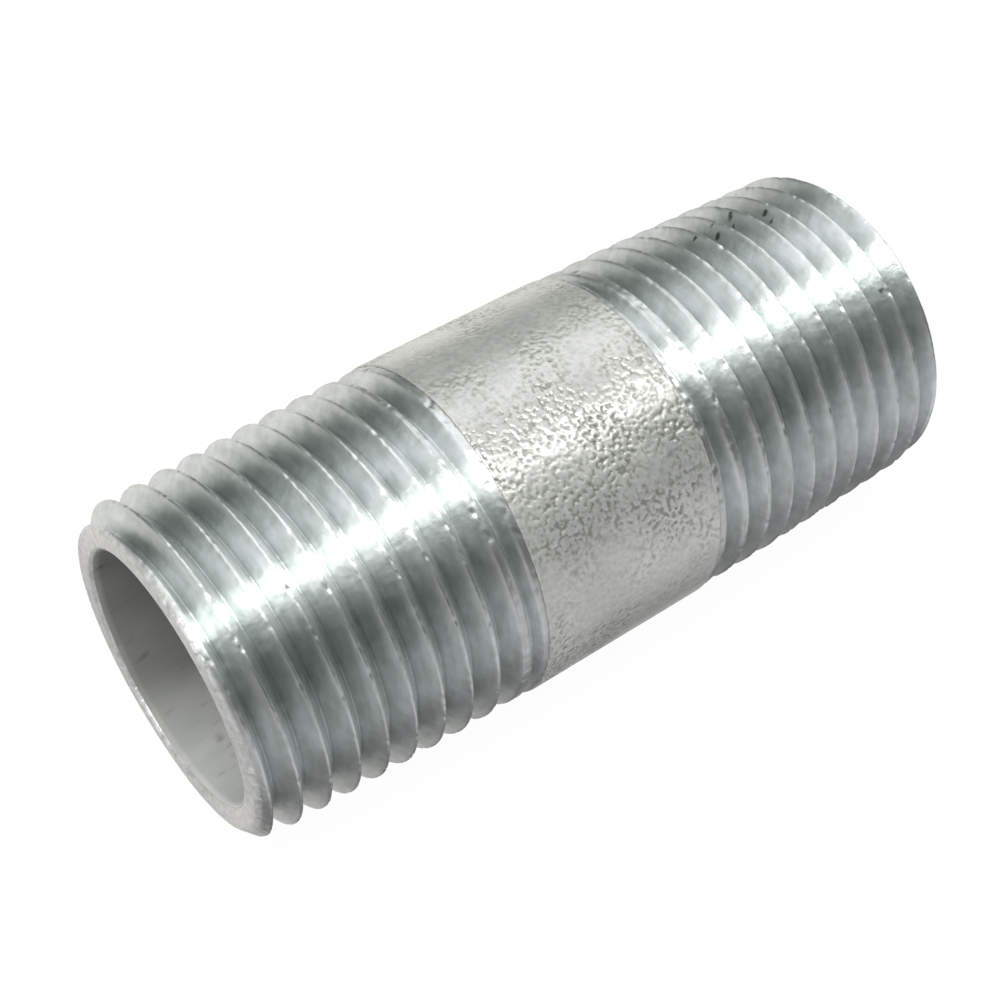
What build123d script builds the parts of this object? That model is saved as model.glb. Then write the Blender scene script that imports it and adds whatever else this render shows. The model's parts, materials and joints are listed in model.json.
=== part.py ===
from build123d import *
import os
from math import atan, ceil, cos, degrees, radians, tan

# Galvanised steel pipe nipple, 1/2 inch, with a right-hand taper pipe thread on each end.
# Millimetres. X runs along the pipe's axis, the origin is the centre of the pipe, and
# the nipple lies on its side with +Z up.

# --- pipe ---
LENGTH = 50.0
PIPE_OUTER_R = 10.65
PIPE_WALL = 2.65
PIPE_BORE_R = PIPE_OUTER_R - PIPE_WALL

# --- taper pipe thread, 14 threads per inch, 60 degree V ---
PITCH = 25.4 / 14
HALF_ANGLE = 30.0
TAPER = 1 / 32                           # radius gained for each mm along the axis
PITCH_CONE_R = 9.575                     # radius of the pitch cone at the end face
SHARP_V_HEIGHT = PITCH / (2 * tan(radians(HALF_ANGLE)))
CREST_TRUNCATION = 0.070 * PITCH
ROOT_TRUNCATION = 0.033 * PITCH
CREST_R = PITCH_CONE_R + SHARP_V_HEIGHT / 2 - CREST_TRUNCATION
ROOT_R = PITCH_CONE_R - SHARP_V_HEIGHT / 2 + ROOT_TRUNCATION

# --- how each thread is cut ---
NEAR_FIRST_ROOT = -1.44                  # the groove starts this far from the -X end face
FAR_FIRST_ROOT = -1.25                   # and from the +X end face
NEAR_FULL_TURNS = 10.2                   # turns cut to full depth on the -X end
FAR_FULL_TURNS = 10.45                   # and on the +X end
RUN_OUT_TURNS = 0.85                     # the groove fades out over this much turn
RUN_OUT_SLOPE = 1.0                      # radius gained by the root for each mm there
TOOL_CLEARANCE = 0.06                    # the groove's tool stands this far past the crests

# --- end faces ---
END_FACE_R = 9.30                        # outer edge of the flat end face
LEAD_CHAMFER = 0.85                      # length of the outer lead-in chamfer
BORE_CHAMFER = 0.20

# --- zinc left by hot dipping ---
BARREL_ZINC = 0.10
BARREL_START = -6.65
BARREL_END = 5.95
BARREL_BEVEL = 0.05
BORE_ZINC = 0.08


def pipe_blank():
    """The pipe with both ends turned to the crest cone, and all its edges broken."""
    end = LENGTH / 2
    taper_length = (PIPE_OUTER_R - CREST_R) / TAPER
    outside = [
        (-end, END_FACE_R),
        (-end + LEAD_CHAMFER, CREST_R + TAPER * LEAD_CHAMFER),
        (-end + taper_length, PIPE_OUTER_R),
    ]
    outside += [(-x, r) for x, r in reversed(outside)]
    bore = [
        (end, PIPE_BORE_R + BORE_CHAMFER),
        (end - BORE_CHAMFER, PIPE_BORE_R),
    ]
    bore += [(-x, r) for x, r in reversed(bore)]
    return revolve(make_face(Polyline(*outside, *bore, close=True)), Axis.X)


def helix(x, radius, turn, turns, slope):
    """A right-hand helix about X that starts at x, turned on by a number of turns."""
    angle = degrees(atan(slope))
    pitch = PITCH / cos(radians(angle))
    curve = Edge.make_helix(pitch, turns * PITCH, radius, angle=angle)
    curve = curve.moved(Location((0, 0, x), (0, 0, 360 * turn)))
    return curve.rotate(Axis.Y, 90).rotate(Axis.X, 90)


def groove_corners(root_r):
    """The groove's section: (distance from its middle, radius), flat root first."""
    height = CREST_R - ROOT_R + TOOL_CLEARANCE
    root_half = ROOT_TRUNCATION * tan(radians(HALF_ANGLE))
    top_half = root_half + height * tan(radians(HALF_ANGLE))
    return [
        (-root_half, root_r),
        (root_half, root_r),
        (top_half, root_r + height),
        (-top_half, root_r + height),
    ]


def groove_length(x, root_r, turn, turns, slope):
    """The four sides of one length of groove, and the loops of points at its two ends."""
    curves = [
        helix(x + offset, radius, turn, turns, slope)
        for offset, radius in groove_corners(root_r)
    ]
    sides = [
        Face.make_surface_from_curves(curves[i], curves[(i + 1) % len(curves)])
        for i in range(len(curves))
    ]
    return sides, [c @ 0 for c in curves], [c @ 1 for c in curves]


def groove_tool(first_root, full_turns):
    """A V groove at the -X end as a solid: full depth first, then the run-out.

    It is built in lengths of up to one turn, so that every face stays short.
    """
    steps = [(full_turns / ceil(full_turns), TAPER)] * ceil(full_turns)
    steps.append((RUN_OUT_TURNS, RUN_OUT_SLOPE))
    turn = 0
    x = -LENGTH / 2 + first_root
    root_r = ROOT_R + TAPER * first_root
    faces = []
    loops = []
    for turns, slope in steps:
        sides, start_loop, end_loop = groove_length(x, root_r, turn, turns, slope)
        faces += sides
        loops += [start_loop, end_loop]
        turn += turns
        x += turns * PITCH
        root_r += turns * PITCH * slope
    caps = [make_face(Polyline(*loop, close=True)) for loop in (loops[0], loops[-1])]
    return Solid(Shell(faces + caps))


def steel_pipe():
    """The pipe, with the thread grooves cut out of both ends."""
    near = groove_tool(NEAR_FIRST_ROOT, NEAR_FULL_TURNS)
    far = groove_tool(FAR_FIRST_ROOT, FAR_FULL_TURNS).rotate(Axis.Y, 180)
    return pipe_blank() - near - far


def barrel_zinc_coat():
    """The zinc skin on the plain barrel between the threads."""
    outer_r = PIPE_OUTER_R + BARREL_ZINC
    outline = [
        (BARREL_START, PIPE_OUTER_R),
        (BARREL_START, outer_r - BARREL_BEVEL),
        (BARREL_START + BARREL_BEVEL, outer_r),
        (BARREL_END - BARREL_BEVEL, outer_r),
        (BARREL_END, outer_r - BARREL_BEVEL),
        (BARREL_END, PIPE_OUTER_R),
    ]
    return revolve(make_face(Polyline(*outline, close=True)), Axis.X)


def bore_zinc_coat():
    """The zinc lining of the bore, flush with the broken edges at both ends."""
    half_length = LENGTH / 2 - BORE_CHAMFER
    middle_r = PIPE_BORE_R - BORE_ZINC / 2
    section = Pos(0, middle_r) * Rectangle(2 * half_length, BORE_ZINC)
    return revolve(section, Axis.X)


def main():
    os.makedirs("parts", exist_ok=True)
    nodes = {
        "steel_pipe": steel_pipe(),
        "barrel_zinc_coat": barrel_zinc_coat(),
        "bore_zinc_coat": bore_zinc_coat(),
    }
    for name, shape in nodes.items():
        export_step(shape, f"parts/{name}.step")


main()
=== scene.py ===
import json
import math
from collections import namedtuple

import bmesh
import bpy
import numpy as np
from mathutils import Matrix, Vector


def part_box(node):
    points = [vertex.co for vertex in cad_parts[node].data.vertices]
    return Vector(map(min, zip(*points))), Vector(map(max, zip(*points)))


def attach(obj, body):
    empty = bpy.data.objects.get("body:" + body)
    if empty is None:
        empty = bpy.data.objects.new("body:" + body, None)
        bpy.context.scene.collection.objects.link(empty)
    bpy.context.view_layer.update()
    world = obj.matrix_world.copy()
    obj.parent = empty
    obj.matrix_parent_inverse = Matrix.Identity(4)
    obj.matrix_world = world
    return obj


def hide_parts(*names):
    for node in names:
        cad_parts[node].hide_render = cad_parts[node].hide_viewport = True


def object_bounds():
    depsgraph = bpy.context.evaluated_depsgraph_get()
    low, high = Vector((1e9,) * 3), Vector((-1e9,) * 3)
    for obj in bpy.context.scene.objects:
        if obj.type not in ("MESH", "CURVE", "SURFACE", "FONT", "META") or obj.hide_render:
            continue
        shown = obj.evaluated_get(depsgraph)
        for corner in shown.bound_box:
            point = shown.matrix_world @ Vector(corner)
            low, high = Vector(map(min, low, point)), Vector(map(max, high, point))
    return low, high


# A galvanised 1/2 inch pipe nipple, in metres. It lies along X with its centre at the origin.

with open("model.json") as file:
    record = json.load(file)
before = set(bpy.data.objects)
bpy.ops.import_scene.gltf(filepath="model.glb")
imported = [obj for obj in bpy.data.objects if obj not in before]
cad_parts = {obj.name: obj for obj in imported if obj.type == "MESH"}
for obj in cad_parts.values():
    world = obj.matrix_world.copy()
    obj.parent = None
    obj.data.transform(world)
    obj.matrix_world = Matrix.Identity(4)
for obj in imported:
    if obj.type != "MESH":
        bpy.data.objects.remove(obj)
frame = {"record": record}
CAD_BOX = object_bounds()

MM = 0.001
TAU = 2 * math.pi

# --- the pipe, read from the frame ---
PIPE_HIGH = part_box("steel_pipe")[1]
BARREL_LOW, BARREL_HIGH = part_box("barrel_zinc_coat")
BORE_LOW, BORE_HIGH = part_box("bore_zinc_coat")
MOUNTS = {m["name"]: m for m in frame["record"]["mounts"]}
HALF_LENGTH = PIPE_HIGH.x
PIPE_R = PIPE_HIGH.z
BARREL_R = BARREL_HIGH.z
BORE_STEEL_R = BORE_HIGH.z
BORE_R = MOUNTS["bore"]["dims"]["r_mm"] * MM

# --- the thread ---
PITCH = 25.4 / 14 * MM                  # 14 turns to the inch
HALF_ANGLE_TAN = math.tan(math.radians(30))
TAPER = 1 / 32                          # rise of the radius along the axis
CREST_R = MOUNTS["left_thread"]["dims"]["r_mm"] * MM
THREAD_DEPTH = 1.385 * MM
ROOT_R = CREST_R - THREAD_DEPTH
ROOT_HALF = 0.0345 * MM                 # half of the flat at the root
LEFT_FIRST_ROOT = -1.44 * MM            # distance from the end face, inwards
RIGHT_FIRST_ROOT = -1.25 * MM
LEFT_FULL_TURNS = 10.2                  # turns at full depth before the run-out
RIGHT_FULL_TURNS = 10.45
RUN_OUT_SLOPE = 1.0
UNDER_BARREL = 0.3 * MM                 # how far the thread's mesh runs on under the zinc
CREST_ROUNDING = 0.07 * MM
ROOT_ROUNDING = 0.08 * MM

# --- the end faces and their edges ---
END_FACE_R = 9.30 * MM
LEAD_CHAMFER = 0.85 * MM
LEAD_ROUNDING = 0.12 * MM
BORE_CHAMFER = 0.20 * MM
FLAT_MARGIN = 0.03 * MM                 # from the bore's chamfer to the flat face
FACE_SHARES = (0.75, 0.5, 0.25, 0.0)    # rings across the flat face, outermost first
BROKEN_EDGE = ((0.03, 0.17), (0.17, 0.03), (0.23, 0.0), (2.0, 0.0))   # inset, radius over the bore, mm
WORN_RIM = 0.12 * MM                    # the sawn look reaches this far down the thread
WORN_RIM_FADE = 0.16 * MM

# --- wear on the thread ---
RIPPLE_SIZE = 0.8 * MM
RIPPLE_HEIGHT = 0.005 * MM
CHIP_SIZE = 0.45 * MM
CHIP_DEPTH = 0.09 * MM
CHIP_THRESHOLD = 0.15
CHIPPED_BAND = 0.25 * MM                # chips stay this close to the crest

# --- dark specks where the zinc has left the right thread: x in mm, degrees, size in mm ---
BARE_SPECKS = [
    (18.15, 71, 0.17), (17.85, 74, 0.11), (16.35, 73, 0.13), (16.2, 77, 0.16), (19.95, 78, 0.15),
    (19.8, 82, 0.10), (14.6, 76, 0.10), (22.1, 128, 0.11),
]
SPECK_STRETCH = 1.4                     # length round the pipe over width
SPECK_GRAIN = 0.2 * MM

# --- the zinc on the barrel ---
ROUGH_AT, ROUGH_SPREAD = 128, 29        # degrees round the pipe where the zinc is roughest
CLUSTER_AT, CLUSTER_SPREAD = 192, 9     # and of the small cluster of pits low on the front
CLUSTER_X, CLUSTER_LENGTH = -4 * MM, 2.2 * MM
SWELL_SIZE, SWELL_HEIGHT = 2.4 * MM, 0.008 * MM
LUMP_SIZE, LUMP_HEIGHT = 0.55 * MM, 0.012 * MM
PIT_SIZE, PIT_DEPTH = 0.28 * MM, 0.055 * MM
PATCH_SIZE = 3.0 * MM
BARREL_EDGE = 0.10 * MM                 # width and drop of the barrel's rounded rims
BARREL_EDGE_DROP = 0.05 * MM
STEEL_OVERLAP = 0.02 * MM               # how far the coat's inside reaches into the steel

# --- the zinc in the bore ---
WAVE_SIZE, WAVE_HEIGHT = 3.0 * MM, 0.02 * MM
SPECK_SIZE, SPECK_DEPTH = 0.40 * MM, 0.04 * MM
PAINTED_LIGHT_AT = 240                         # degrees round the bore where its wall is brightened by painted light

# --- mesh density ---
COLUMNS = 400
CREST_SAMPLES = (0.0, 0.035, 0.07, 0.105, 0.15)      # mm from the crest
FLANK_SAMPLES = (0.26, 0.72, 5)                      # first and last, mm from the crest, and count
ROOT_SAMPLES = (0.11, 0.07, 0.035, 0.0)              # mm from the root
BARREL_COLUMNS = 800
BARREL_ROWS = 180
BORE_COLUMNS = 320
BORE_ROWS = 120

# --- the fixed tables of the noise ---
NOISE_CELLS = 256
NOISE_GAIN = 1.6
SHUFFLE = np.tile(np.random.default_rng(7).permutation(NOISE_CELLS), 2)
GRADIENTS = np.random.default_rng(11).normal(size=(NOISE_CELLS, 3))
GRADIENTS /= np.linalg.norm(GRADIENTS, axis=1, keepdims=True)


# ---------------------------------------------------------------- noise and meshes

def gradient_noise(points, size):
    """Smooth noise of about -1 to 1 at an array of points, with features of that size."""
    p = points / size
    cell = np.floor(p).astype(int)
    local = p - cell
    fade = local ** 3 * (local * (local * 6 - 15) + 10)
    total = np.zeros(len(points))
    for corner in np.ndindex(2, 2, 2):
        index = (cell + corner) % NOISE_CELLS
        hashed = SHUFFLE[SHUFFLE[SHUFFLE[index[:, 0]] + index[:, 1]] + index[:, 2]]
        dot = (GRADIENTS[hashed] * (local - corner)).sum(1)
        weight = np.prod(np.where(corner, fade, 1 - fade), axis=1)
        total += dot * weight
    return total * NOISE_GAIN


def layered_noise(points, size, layers=3, gain=0.5):
    """Several layers of gradient noise added up, each with features half as large as the last."""
    total = np.zeros(len(points))
    for layer in range(layers):
        shifted = points + 0.37 * MM * (layer + 1)
        total += gain ** layer * gradient_noise(shifted, size / 2 ** layer)
    return total


def smooth_min(a, b, width):
    """The lower of two heights, with their corner rounded over a width."""
    blend = np.clip(0.5 + 0.5 * (b - a) / width, 0, 1)
    return b + (a - b) * blend - width * blend * (1 - blend)


def smooth_max(a, b, width):
    """The higher of two heights, with their corner rounded over a width."""
    return -smooth_min(-a, -b, width)


def around_axis(x, radius, angle):
    """Points at a radius and an angle round the X axis."""
    return np.stack([x, radius * np.cos(angle), radius * np.sin(angle)], axis=-1)


def degrees_around(points):
    """The angle of each point round the X axis, in degrees from +Y."""
    return np.degrees(np.arctan2(points[:, 2], points[:, 1]))


def column_angles(columns):
    """Even angles round the X axis, one for each column of a mesh."""
    return np.arange(columns) * TAU / columns


def loop_faces(first, second):
    """Quads between two closed loops with the same number of points."""
    return np.stack([first, np.roll(first, -1), np.roll(second, -1), second], axis=-1).tolist()


def mesh_object(name, points, faces, values):
    """A closed, smooth-shaded mesh object from arrays, with its own named point values."""
    mesh = bpy.data.meshes.new(name)
    mesh.from_pydata(points.tolist(), [], faces)
    for key, value in values.items():
        layer = mesh.attributes.new(key, "FLOAT", "POINT")
        layer.data.foreach_set("value", value.astype(np.float32))
    obj = bpy.data.objects.new(name, mesh)
    bpy.context.scene.collection.objects.link(obj)
    close_up(obj)
    return obj


def close_up(obj):
    """Drops loose points, turns every face outwards and shades them smooth."""
    work = bmesh.new()
    work.from_mesh(obj.data)
    loose = [v for v in work.verts if not v.link_faces]
    bmesh.ops.delete(work, geom=loose, context="VERTS")
    bmesh.ops.recalc_face_normals(work, faces=work.faces[:])
    open_edges = sum(1 for e in work.edges if len(e.link_faces) != 2)
    print(obj.name, "faces", len(work.faces), "edges that are not shared by two faces", open_edges)
    work.to_mesh(obj.data)
    work.free()
    obj.data.shade_smooth()


# ---------------------------------------------------------------- the threaded pipe

# One threaded end: arrays for its points, its faces and its loops of points on the two cuts.
ThreadEnd = namedtuple("ThreadEnd", "distance radius angle depth faces outer_loop inner_loop")


def blank_radius(distance):
    """Radius of the turned blank at a distance from the end face: chamfer, cone, pipe."""
    cone = np.minimum(CREST_R + TAPER * distance, PIPE_R)
    chamfer_rise = CREST_R + TAPER * LEAD_CHAMFER - END_FACE_R
    chamfer = END_FACE_R + distance * chamfer_rise / LEAD_CHAMFER
    return smooth_min(cone, chamfer, LEAD_ROUNDING)


def groove_radius(distance, angle, first_root, full_turns):
    """Radius of the nearest V groove, which fades out past its full turns."""
    turn = (distance - first_root) / PITCH - angle / TAU
    groove = np.round(turn)
    offset = np.abs(turn - groove) * PITCH
    helix_turn = groove + angle / TAU
    root = ROOT_R + TAPER * (first_root + helix_turn * PITCH)
    root = root + np.clip(helix_turn - full_turns, 0, None) * PITCH * RUN_OUT_SLOPE
    flank = root + (offset - ROOT_HALF) / HALF_ANGLE_TAN
    return smooth_max(root, flank, ROOT_ROUNDING)


def thread_offsets():
    """Places across one pitch where the thread is sampled, closer at crest and root."""
    crest = np.array(CREST_SAMPLES) * MM
    flank = np.linspace(*FLANK_SAMPLES) * MM
    root = PITCH / 2 - np.array(ROOT_SAMPLES) * MM
    one_side = np.concatenate([crest, flank, root])
    return np.concatenate([one_side, PITCH - one_side[-2:0:-1]])


def collapse_outside(distance, index, length):
    """Sends every point beyond an end of the thread to the one on that end, by column."""
    low = np.maximum((distance <= 0).sum(0) - 1, 0)
    high = np.minimum((distance < length).sum(0), len(distance) - 1)
    rows = np.clip(np.arange(len(distance))[:, None], low[None, :], high[None, :])
    columns = np.broadcast_to(np.arange(COLUMNS), rows.shape)
    return index[rows, columns], index[low, columns[0]], index[high, columns[0]]


def sheared_faces(index, per_pitch):
    """Faces of a grid whose last column joins the first one pitch further on."""
    wrapped = np.roll(index, -1, axis=1)
    wrapped[:-per_pitch, -1] = index[per_pitch:, 0]
    quads = np.stack([index[:-1], index[1:], wrapped[1:], wrapped[:-1]], axis=-1)
    quads[-per_pitch:, -1] = quads[-per_pitch:, -1, :1]
    kept_once = (list(dict.fromkeys(quad)) for quad in quads.reshape(-1, 4).tolist())
    return [face for face in kept_once if len(face) > 2]


def thread_end(first_root, full_turns, length):
    """One threaded end as a grid sheared along its helix, cut square at both ends.

    Distances run from the end face inwards, and depth is measured from the blank.
    """
    offsets = thread_offsets()
    pitches = int(length / PITCH) + 5
    start = first_root - 2 * PITCH
    rows = (start + np.arange(pitches)[:, None] * PITCH + offsets[None, :]).ravel()
    angles = column_angles(COLUMNS)
    sheared = rows[:, None] + PITCH * angles[None, :] / TAU
    distance = np.clip(sheared, 0, length)
    angle = np.broadcast_to(angles, distance.shape)
    blank = blank_radius(distance)
    groove = groove_radius(distance, angle, first_root, full_turns)
    radius = smooth_min(blank, groove, CREST_ROUNDING)
    index = np.arange(distance.size).reshape(distance.shape)
    index, outer_loop, inner_loop = collapse_outside(sheared, index, length)
    arrays = [a.ravel() for a in (distance, radius, angle, blank - radius)]
    return ThreadEnd(*arrays, sheared_faces(index, len(offsets)), outer_loop, inner_loop)


def worn(points, radius, depth):
    """Radius of the thread with its ripples, and with small chips out of its crests."""
    crest = np.clip(1 - depth / CHIPPED_BAND, 0, 1)
    ripple = RIPPLE_HEIGHT * layered_noise(points, RIPPLE_SIZE)
    chips = np.clip(layered_noise(points, CHIP_SIZE) - CHIP_THRESHOLD, 0, 1) * CHIP_DEPTH * crest
    return radius + ripple - chips


def bare_specks(points):
    """1 at the middle of each dark speck, falling to 0 at its rim."""
    angle = degrees_around(points)
    bare = np.zeros(len(points))
    for x, degrees, size in BARE_SPECKS:
        across = (points[:, 0] - x * MM) / (size * MM)
        along = np.radians(angle - degrees) * CREST_R / (SPECK_STRETCH * size * MM)
        bare = np.maximum(bare, np.clip(1.4 - across ** 2 - along ** 2, 0, 1))
    return bare * np.clip(0.9 + gradient_noise(points, SPECK_GRAIN), 0, 1)


def sawn_rim(distance):
    """1 at the end face and its worn rim, 0 on the thread."""
    return np.clip(1 - (distance - WORN_RIM) / WORN_RIM_FADE, 0, 1)


class PipeParts:
    """The pipe's points, their values and their faces, gathered part by part."""

    def __init__(self):
        self.points = []
        self.depths = []
        self.sawn = []
        self.faces = []
        self.count = 0

    def add_points(self, points, depth, sawn):
        """Adds points with their values, which may be one for all. Returns their indices."""
        self.points.append(points)
        self.depths.append(np.broadcast_to(depth, len(points)))
        self.sawn.append(np.broadcast_to(sawn, len(points)))
        first = self.count
        self.count += len(points)
        return np.arange(first, self.count)

    def add_thread(self, side, end):
        """Adds a threaded end. Returns its loops at the end face and under the barrel."""
        x = side * (HALF_LENGTH - end.distance)
        angle = -side * end.angle
        true_points = around_axis(x, end.radius, angle)
        points = around_axis(x, worn(true_points, end.radius, end.depth), angle)
        index = self.add_points(points, end.depth, sawn_rim(end.distance))
        first = int(index[0])
        self.faces += [[first + i for i in face] for face in end.faces]
        order = np.arange(COLUMNS) * -side % COLUMNS
        return index[end.outer_loop[order]], index[end.inner_loop[order]]

    def add_end_face(self, side, loop):
        """Adds the sawn face and the broken edge inside it. Returns the loop in the bore."""
        rim = np.concatenate(self.points)[loop]
        outer_r = np.hypot(rim[:, 1], rim[:, 2])
        flat_r = BORE_STEEL_R + BORE_CHAMFER + FLAT_MARGIN
        rings = [(0.0, flat_r + (outer_r - flat_r) * share) for share in FACE_SHARES]
        rings += [(inset * MM, BORE_STEEL_R + step * MM) for inset, step in BROKEN_EDGE]
        for inset, radius in rings:
            x = np.full(COLUMNS, side * (HALF_LENGTH - inset))
            ring = around_axis(x, np.broadcast_to(radius, COLUMNS), column_angles(COLUMNS))
            next_loop = self.add_points(ring, 0.0, 1.0)
            self.faces += loop_faces(loop, next_loop)
            loop = next_loop
        return loop


def threaded_pipe():
    """The steel pipe: both threads, the end faces, the broken edges and the bore."""
    left_length = BARREL_LOW.x + HALF_LENGTH + UNDER_BARREL
    right_length = HALF_LENGTH - BARREL_HIGH.x + UNDER_BARREL
    left = thread_end(LEFT_FIRST_ROOT, LEFT_FULL_TURNS, left_length)
    right = thread_end(RIGHT_FIRST_ROOT, RIGHT_FULL_TURNS, right_length)
    parts = PipeParts()
    left_outer, left_inner = parts.add_thread(-1, left)
    right_outer, right_inner = parts.add_thread(1, right)
    parts.faces += loop_faces(left_inner, right_inner)
    left_bore = parts.add_end_face(-1, left_outer)
    right_bore = parts.add_end_face(1, right_outer)
    parts.faces += loop_faces(left_bore, right_bore)
    points = np.concatenate(parts.points)
    return mesh_object("threaded_pipe", points, parts.faces, {
        "thread_depth": np.concatenate(parts.depths) / THREAD_DEPTH,
        "end_face": np.concatenate(parts.sawn),
        "bare": bare_specks(points),
    })


# ---------------------------------------------------------------- the zinc coats

def coat_object(name, columns, x_rows, radius_rows, inner_r, relief):
    """A closed tube about X: one surface with relief, square ends and a plain surface.

    The surface with relief has an x and a radius for each row, and the plain one lies at
    inner_r. relief gives each point's moved radius and the depth of its pit.
    """
    rows = len(x_rows)
    angles = column_angles(columns)
    angle = np.tile(angles, rows)
    x = np.repeat(x_rows, columns)
    radius = np.repeat(radius_rows, columns)
    moved, pits = relief(around_axis(x, radius, angle), radius)
    points = [around_axis(x, moved, angle)]
    for end_x in (x_rows[-1], x_rows[0]):
        points.append(around_axis(np.full(columns, end_x), np.full(columns, inner_r), angles))
    loops = np.arange((rows + 2) * columns).reshape(rows + 2, columns)
    faces = []
    for loop, next_loop in zip(loops, np.roll(loops, -1, axis=0)):
        faces += loop_faces(loop, next_loop)
    pit_values = np.concatenate([pits, np.zeros(2 * columns)])
    return mesh_object(name, np.concatenate(points), faces, {"pit": pit_values})


def roughness_of_zinc(points):
    """How rough the barrel's zinc is at each point, from almost smooth to 1.2."""
    front = degrees_around(points) % 360
    rough = np.exp(-((front - ROUGH_AT) / ROUGH_SPREAD) ** 2)
    from_cluster = (points[:, 0] - CLUSTER_X) / CLUSTER_LENGTH
    cluster = np.exp(-((front - CLUSTER_AT) / CLUSTER_SPREAD) ** 2 - from_cluster ** 2)
    spread = 0.8 * gradient_noise(points + 5 * MM, PATCH_SIZE)
    return np.clip(0.24 + 0.7 * rough + 0.9 * cluster + spread, 0.08, 1.2)


def lumpy_zinc(points, radius):
    """Hot-dip zinc: low lumps with sharper pits between them. Returns radius and pit depth."""
    patches = roughness_of_zinc(points)
    swell = SWELL_HEIGHT * gradient_noise(points, SWELL_SIZE)
    lumps = LUMP_HEIGHT * layered_noise(points, LUMP_SIZE, layers=2) * (0.4 + patches)
    dimples = layered_noise(points + 2 * MM, PIT_SIZE, layers=2, gain=0.6)
    pits = np.clip((dimples + 0.02) / 0.6, 0, 1) * patches
    return radius + swell + lumps - PIT_DEPTH * pits, pits


def barrel_zinc():
    """The rough zinc skin on the plain barrel."""
    x = np.linspace(BARREL_LOW.x, BARREL_HIGH.x, BARREL_ROWS)
    inset = np.minimum(x - BARREL_LOW.x, BARREL_HIGH.x - x)
    rounding = np.clip(1 - inset / BARREL_EDGE, 0, 1) ** 2 * BARREL_EDGE_DROP
    inner_r = PIPE_R - STEEL_OVERLAP
    return coat_object("barrel_zinc", BARREL_COLUMNS, x, BARREL_R - rounding, inner_r, lumpy_zinc)


def smooth_zinc(points, radius):
    """The calmer zinc inside the bore: slow waves and a few small runs."""
    waves = gradient_noise(points * np.array([0.35, 1, 1]), WAVE_SIZE)
    specks = gradient_noise(points * np.array([0.6, 1, 1]), SPECK_SIZE)
    pits = np.clip(specks - 0.5, 0, 1)
    return radius + WAVE_HEIGHT * waves - SPECK_DEPTH * pits, pits


def bore_zinc():
    """The zinc lining of the bore, whose visible face is its inside."""
    x = np.linspace(BORE_LOW.x, BORE_HIGH.x, BORE_ROWS)
    radius = np.full(BORE_ROWS, BORE_R)
    return coat_object("bore_zinc", BORE_COLUMNS, x, radius, BORE_STEEL_R, smooth_zinc)


# ---------------------------------------------------------------- materials

def new_material(name):
    """An empty node material, its node tree and its main shader."""
    material = bpy.data.materials.new(name)
    material.use_nodes = True
    tree = material.node_tree
    return material, tree, tree.nodes["Principled BSDF"]


def noise_value(tree, scale, detail, roughness=0.5):
    """A noise texture in object space, with its own scale along each axis, per metre."""
    place = tree.nodes.new("ShaderNodeTexCoord")
    mapping = tree.nodes.new("ShaderNodeMapping")
    mapping.inputs["Scale"].default_value = scale
    noise = tree.nodes.new("ShaderNodeTexNoise")
    noise.inputs["Scale"].default_value = 1.0
    noise.inputs["Detail"].default_value = detail
    noise.inputs["Roughness"].default_value = roughness
    tree.links.new(place.outputs["Object"], mapping.inputs["Vector"])
    tree.links.new(mapping.outputs["Vector"], noise.inputs["Vector"])
    return noise.outputs["Fac"]


def point_value(tree, name):
    """A value stored on the mesh's points."""
    node = tree.nodes.new("ShaderNodeAttribute")
    node.attribute_name = name
    return node.outputs["Fac"]


def ramp(tree, value, stops):
    """A colour ramp over a value, from a list of (position, colour)."""
    node = tree.nodes.new("ShaderNodeValToRGB")
    elements = node.color_ramp.elements
    while len(elements) < len(stops):
        elements.new(0.5)
    for element, (position, colour) in zip(elements, stops):
        element.position = position
        element.color = (*colour, 1)
    tree.links.new(value, node.inputs["Fac"])
    return node.outputs["Color"]


def mixed(tree, factor, first, second):
    """Two colours mixed by a factor, which is a socket or a number."""
    node = tree.nodes.new("ShaderNodeMix")
    node.data_type = "RGBA"
    if isinstance(factor, float):
        node.inputs[0].default_value = factor
    else:
        tree.links.new(factor, node.inputs[0])
    tree.links.new(first, node.inputs[6])
    tree.links.new(second, node.inputs[7])
    return node.outputs[2]


def tinted(tree, colour, tint):
    """A colour multiplied by another."""
    node = tree.nodes.new("ShaderNodeMix")
    node.data_type = "RGBA"
    node.blend_type = "MULTIPLY"
    node.inputs[0].default_value = 1.0
    tree.links.new(colour, node.inputs[6])
    tree.links.new(tint, node.inputs[7])
    return node.outputs[2]


def mapped(tree, value, low, high):
    """A 0 to 1 value stretched to run from low to high."""
    node = tree.nodes.new("ShaderNodeMapRange")
    node.inputs["To Min"].default_value = low
    node.inputs["To Max"].default_value = high
    tree.links.new(value, node.inputs["Value"])
    return node.outputs["Result"]


def product(tree, first, second):
    """Two values multiplied."""
    node = tree.nodes.new("ShaderNodeMath")
    node.operation = "MULTIPLY"
    tree.links.new(first, node.inputs[0])
    tree.links.new(second, node.inputs[1])
    return node.outputs[0]


def bumped(tree, height, distance, strength, normal=None):
    """A bump from a height, laid over another normal where one is given."""
    node = tree.nodes.new("ShaderNodeBump")
    node.inputs["Strength"].default_value = strength
    node.inputs["Distance"].default_value = distance
    tree.links.new(height, node.inputs["Height"])
    if normal is not None:
        tree.links.new(normal, node.inputs["Normal"])
    return node.outputs["Normal"]


def mixed_shaders(tree, factor, first, second):
    """Two shaders mixed by a socket."""
    node = tree.nodes.new("ShaderNodeMixShader")
    tree.links.new(factor, node.inputs[0])
    tree.links.new(first, node.inputs[1])
    tree.links.new(second, node.inputs[2])
    return node.outputs[0]


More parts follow.
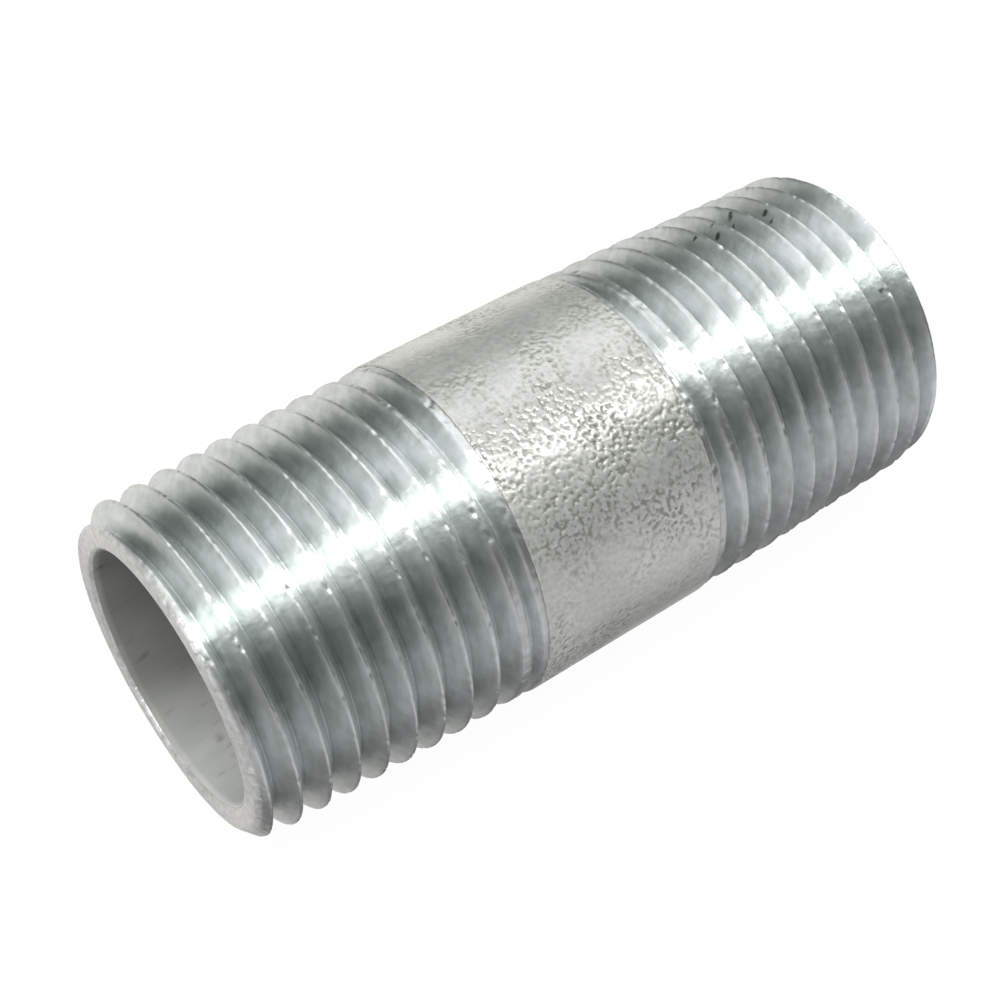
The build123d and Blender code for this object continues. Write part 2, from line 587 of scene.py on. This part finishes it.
def thread_colour(tree, cloud, streaks, crumbs, face):
    """Bright zinc, a little darker at the crest and with painted shade darkening the root, clouded and
    streaked, and grey on the sawn face.
    """
    # Painted shade: the zinc's colour is darkened towards the root of the groove, where shade falls.
    tone_and_root_shade = ramp(tree, point_value(tree, "thread_depth"), [
        (0.0, (0.58, 0.60, 0.59)), (0.08, (0.67, 0.69, 0.685)),
        (0.85, (0.66, 0.685, 0.68)), (1.0, (0.50, 0.52, 0.515))])
    clouds = ramp(tree, cloud, [(0.3, (0.82, 0.84, 0.83)), (0.7, (1, 1, 1))])
    mottle = noise_value(tree, (1100, 1100, 1100), detail=3)
    streaked = ramp(tree, streaks, [(0.35, (0.74, 0.75, 0.74)), (0.62, (1.08, 1.08, 1.08))])
    mottled = ramp(tree, mottle, [(0.35, (0.80, 0.82, 0.80)), (0.65, (1.06, 1.06, 1.06))])
    colour = tinted(tree, tone_and_root_shade, clouds)
    colour = tinted(tree, colour, mixed(tree, 0.5, streaked, mottled))
    sawn = ramp(tree, crumbs, [(0.3, (0.28, 0.275, 0.26)), (0.65, (0.46, 0.455, 0.435))])
    colour = mixed(tree, face, colour, sawn)
    bare = ramp(tree, point_value(tree, "bare"), [(0.2, (1, 1, 1)), (0.7, (0.22, 0.24, 0.22))])
    return tinted(tree, colour, bare)


def thread_normal(tree, streaks, crumbs, face):
    """Turning marks, grain, streaks and shallow dents, and crumbs on the sawn face."""
    marks = noise_value(tree, (9000, 350, 350), detail=2)
    grain = noise_value(tree, (3500, 3500, 3500), detail=3)
    dents = noise_value(tree, (700, 1500, 1500), detail=2)
    normal = bumped(tree, marks, 0.02 * MM, 0.35)
    normal = bumped(tree, grain, 0.02 * MM, 0.25, normal)
    normal = bumped(tree, streaks, 0.02 * MM, 0.4, normal)
    normal = bumped(tree, dents, 0.03 * MM, 0.6, normal)
    return bumped(tree, product(tree, crumbs, face), 0.08 * MM, 0.8, normal)


def thread_material():
    """Bright zinc over a cut thread, whose fine marks round the pipe stretch its highlights."""
    material, tree, shader = new_material("bright_zinc_thread")
    shader.inputs["Anisotropic"].default_value = 0.88
    shader.inputs["Anisotropic Rotation"].default_value = 0.25
    tangent = tree.nodes.new("ShaderNodeTangent")
    tangent.direction_type = "RADIAL"
    tangent.axis = "X"
    tree.links.new(tangent.outputs["Tangent"], shader.inputs["Tangent"])
    cloud = noise_value(tree, (160, 160, 160), detail=4)
    streaks = noise_value(tree, (3600, 450, 450), detail=3)
    crumbs = noise_value(tree, (2200, 2200, 2200), detail=4, roughness=0.6)
    face = point_value(tree, "end_face")
    colour = thread_colour(tree, cloud, streaks, crumbs, face)
    tree.links.new(colour, shader.inputs["Base Color"])
    tree.links.new(mapped(tree, face, 1.0, 0.45), shader.inputs["Metallic"])
    tree.links.new(mapped(tree, cloud, 0.28, 0.40), shader.inputs["Roughness"])
    tree.links.new(thread_normal(tree, streaks, crumbs, face), shader.inputs["Normal"])
    return material


def barrel_material():
    """Matte grey hot-dip zinc with painted shade darkening its pits, and a fine sugary grain."""
    material, tree, shader = new_material("hot_dip_zinc")
    shader.inputs["Metallic"].default_value = 0.55
    shader.inputs["Specular IOR Level"].default_value = 0.9
    grain = noise_value(tree, (2600, 2600, 2600), detail=4, roughness=0.6)
    cloud = noise_value(tree, (220, 220, 220), detail=3)
    base = ramp(tree, cloud, [(0.3, (0.37, 0.375, 0.35)), (0.7, (0.45, 0.455, 0.425))])
    fine = ramp(tree, grain, [(0.3, (0.80, 0.80, 0.79)), (0.6, (1, 1, 1))])
    # Painted shade: the colour darkens in the pits, standing in for the shade their relief would throw.
    shade = ramp(tree, point_value(tree, "pit"), [
        (0.0, (1, 1, 1)), (0.20, (0.88, 0.88, 0.865)), (0.75, (0.55, 0.555, 0.535))])
    colour = tinted(tree, tinted(tree, base, fine), shade)
    tree.links.new(colour, shader.inputs["Base Color"])
    tree.links.new(mapped(tree, grain, 0.18, 0.30), shader.inputs["Roughness"])
    tree.links.new(bumped(tree, grain, 0.05 * MM, 0.35), shader.inputs["Normal"])
    return material


def painted_light_share(tree):
    """0 to 1 across the bore, highest low on the front side, where light is painted on."""
    place = tree.nodes.new("ShaderNodeTexCoord")
    low = tree.nodes.new("ShaderNodeVectorMath")
    low.operation = "DOT_PRODUCT"
    angle = math.radians(PAINTED_LIGHT_AT)
    low.inputs[1].default_value = (0, math.cos(angle) / BORE_R, math.sin(angle) / BORE_R)
    tree.links.new(place.outputs["Object"], low.inputs[0])
    share = tree.nodes.new("ShaderNodeMapRange")
    share.inputs["From Min"].default_value = -1.0
    tree.links.new(low.outputs["Value"], share.inputs["Value"])
    return share.outputs["Result"]


def bore_material():
    """Dull grey zinc inside the bore, with a few dark specks and painted light low on its front side.
    """
    material, tree, shader = new_material("dull_zinc_bore")
    shader.inputs["Metallic"].default_value = 0.0
    shader.inputs["Specular IOR Level"].default_value = 0.25
    grain = noise_value(tree, (1500, 1500, 1500), detail=4, roughness=0.6)
    cloud = noise_value(tree, (180, 400, 400), detail=3)
    base = ramp(tree, cloud, [(0.3, (0.26, 0.265, 0.255)), (0.7, (0.31, 0.315, 0.30))])
    # Painted light: the wall is brightened low on the front side and held darker everywhere else.
    painted_bore_light = ramp(tree, painted_light_share(tree), [
        (0.05, (0.52, 0.52, 0.51)), (0.65, (0.52, 0.525, 0.495)), (0.97, (1.4, 1.4, 1.37))])
    shade = ramp(tree, point_value(tree, "pit"), [(0.0, (1, 1, 1)), (0.3, (0.5, 0.5, 0.48))])
    colour = tinted(tree, tinted(tree, base, painted_bore_light), shade)
    tree.links.new(colour, shader.inputs["Base Color"])
    tree.links.new(mapped(tree, grain, 0.75, 0.95), shader.inputs["Roughness"])
    tree.links.new(bumped(tree, grain, 0.05 * MM, 0.4), shader.inputs["Normal"])
    return material


# ---------------------------------------------------------------- stage, light, camera

WHITE = (1, 1, 1, 1)
PAPER = (0.85, 0.85, 0.85, 1)
PAPER_GLOW = 0.97                       # share of the floor that shows the camera no shadow
FLOOR_HALF = 3.0

# Tints of the room's walls.
WARM = (1.0, 0.985, 0.955)
GREEN = (0.95, 1.0, 0.955)
COOL = (0.98, 0.985, 1.01)
TEAL = (0.94, 1.0, 0.985)

# Brightness and tint of the room by direction, as degrees round the X axis from +Y over the top.
ROOM = [
    (-75, 0.42, WARM), (-50, 0.90, WARM), (-35, 1.00, WARM), (-5, 1.15, WARM), (10, 0.48, GREEN),
    (25, 0.28, GREEN), (42, 0.55, GREEN), (58, 1.60, COOL), (72, 2.10, COOL), (90, 1.20, COOL),
    (125, 1.10, COOL), (141, 0.46, GREEN), (158, 0.22, TEAL), (172, 0.28, TEAL),
    (188, 0.58, COOL), (205, 0.88, COOL), (222, 0.92, COOL), (238, 0.74, COOL),
    (254, 0.36, COOL), (270, 0.26, COOL),
]

LIGHT_DISTANCE = 0.40
CAMERA_AT = Vector((-0.04714, -0.06259, 0.07955))
CAMERA_LOOKS = Vector((0.4184, 0.5454, -0.7263))
SENSOR_WIDTH = 36.0
LENS = 66.7
SHIFT = (-0.04, 0.02)


def direction_around(tree):
    """0 to 1 by the direction a ray takes round the X axis, starting at -Y."""
    direction = tree.nodes.new("ShaderNodeTexCoord")
    parts = tree.nodes.new("ShaderNodeSeparateXYZ")
    angle = tree.nodes.new("ShaderNodeMath")
    angle.operation = "ARCTAN2"
    turn = tree.nodes.new("ShaderNodeMapRange")
    turn.inputs["From Min"].default_value = -math.pi
    turn.inputs["From Max"].default_value = math.pi
    tree.links.new(direction.outputs["Generated"], parts.inputs[0])
    tree.links.new(parts.outputs["Z"], angle.inputs[0])
    tree.links.new(parts.outputs["Y"], angle.inputs[1])
    tree.links.new(angle.outputs[0], turn.inputs["Value"])
    return turn.outputs["Result"]


def room_world():
    """A plain grey room that brightens and darkens softly round X, white where it is seen."""
    world = bpy.data.worlds.new("room")
    bpy.context.scene.world = world
    world.use_nodes = True
    tree = world.node_tree
    room = tree.nodes["Background"]
    stops = []
    for degrees, brightness, tint in ROOM:
        place = ((degrees + 180) % 360) / 360
        stops.append((place, tuple(brightness * channel for channel in tint)))
    colour = ramp(tree, direction_around(tree), sorted(stops))
    tree.links.new(colour, room.inputs["Color"])
    backdrop = tree.nodes.new("ShaderNodeBackground")
    backdrop.inputs["Color"].default_value = WHITE
    ray = tree.nodes.new("ShaderNodeLightPath")
    seen = mixed_shaders(tree, ray.outputs["Is Camera Ray"], room.outputs[0], backdrop.outputs[0])
    tree.links.new(seen, tree.nodes["World Output"].inputs["Surface"])


def floor_material():
    """White paper, shown to the camera almost without shadow."""
    material, tree, shader = new_material("white_floor")
    shader.inputs["Base Color"].default_value = PAPER
    shader.inputs["Roughness"].default_value = 0.8
    glow = tree.nodes.new("ShaderNodeEmission")
    glow.inputs["Color"].default_value = WHITE
    glow.inputs["Strength"].default_value = 1.0
    ray = tree.nodes.new("ShaderNodeLightPath")
    share = tree.nodes.new("ShaderNodeMath")
    share.operation = "MULTIPLY"
    share.inputs[1].default_value = PAPER_GLOW
    tree.links.new(ray.outputs["Is Camera Ray"], share.inputs[0])
    seen = mixed_shaders(tree, share.outputs[0], shader.outputs[0], glow.outputs[0])
    tree.links.new(seen, tree.nodes["Material Output"].inputs["Surface"])
    return material


def add_floor():
    """The pale floor, level with the lowest point of the nipple."""
    mesh = bpy.data.meshes.new("floor")
    corners = [(-1, -1), (1, -1), (1, 1), (-1, 1)]
    mesh.from_pydata([(FLOOR_HALF * x, FLOOR_HALF * y, 0) for x, y in corners], [], [(0, 1, 2, 3)])
    floor = bpy.data.objects.new("floor", mesh)
    floor.location.z = CAD_BOX[0].z
    floor.visible_glossy = False
    floor.visible_shadow = False
    bpy.context.scene.collection.objects.link(floor)
    floor.data.materials.append(floor_material())


def strip_light(name, centre_x, around, width, length, power):
    """A soft box whose long side lies along X, at an angle round the pipe's axis."""
    data = bpy.data.lights.new(name, "AREA")
    data.shape = "RECTANGLE"
    data.size = length
    data.size_y = width
    data.energy = power
    obj = bpy.data.objects.new(name, data)
    bpy.context.scene.collection.objects.link(obj)
    angle = math.radians(around)
    obj.location = (centre_x, LIGHT_DISTANCE * math.cos(angle), LIGHT_DISTANCE * math.sin(angle))
    obj.rotation_euler = (angle - math.pi / 2, 0, 0)


def studio():
    """A pale floor, a grey room and two soft boxes overhead: one for the flanks, one for the barrel."""
    room_world()
    add_floor()
    strip_light("key_box", centre_x=-0.37, around=107, width=0.12, length=0.86, power=3.0)
    strip_light("barrel_box", centre_x=0.20, around=113, width=0.10, length=0.18, power=0.20)


def add_camera():
    """A camera above the left front of the nipple, looking down at about 45 degrees."""
    data = bpy.data.cameras.new("camera")
    data.sensor_width = SENSOR_WIDTH
    data.lens = LENS
    data.shift_x, data.shift_y = SHIFT
    data.clip_start = MM
    camera = bpy.data.objects.new("camera", data)
    bpy.context.scene.collection.objects.link(camera)
    camera.location = CAMERA_AT
    camera.rotation_mode = "QUATERNION"
    camera.rotation_quaternion = CAMERA_LOOKS.to_track_quat("-Z", "Y")
    bpy.context.scene.camera = camera


# ---------------------------------------------------------------- put it together

def dress(piece, node, material):
    """A piece stands for its CAD node, rides on the one body and takes the material it is given."""
    piece.data.materials.append(material)
    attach(piece, "root")
    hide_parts(node)


bpy.context.scene.view_settings.view_transform = "Standard"
add_camera()
studio()
dress(threaded_pipe(), "steel_pipe", thread_material())
dress(barrel_zinc(), "barrel_zinc_coat", barrel_material())
dress(bore_zinc(), "bore_zinc_coat", bore_material())
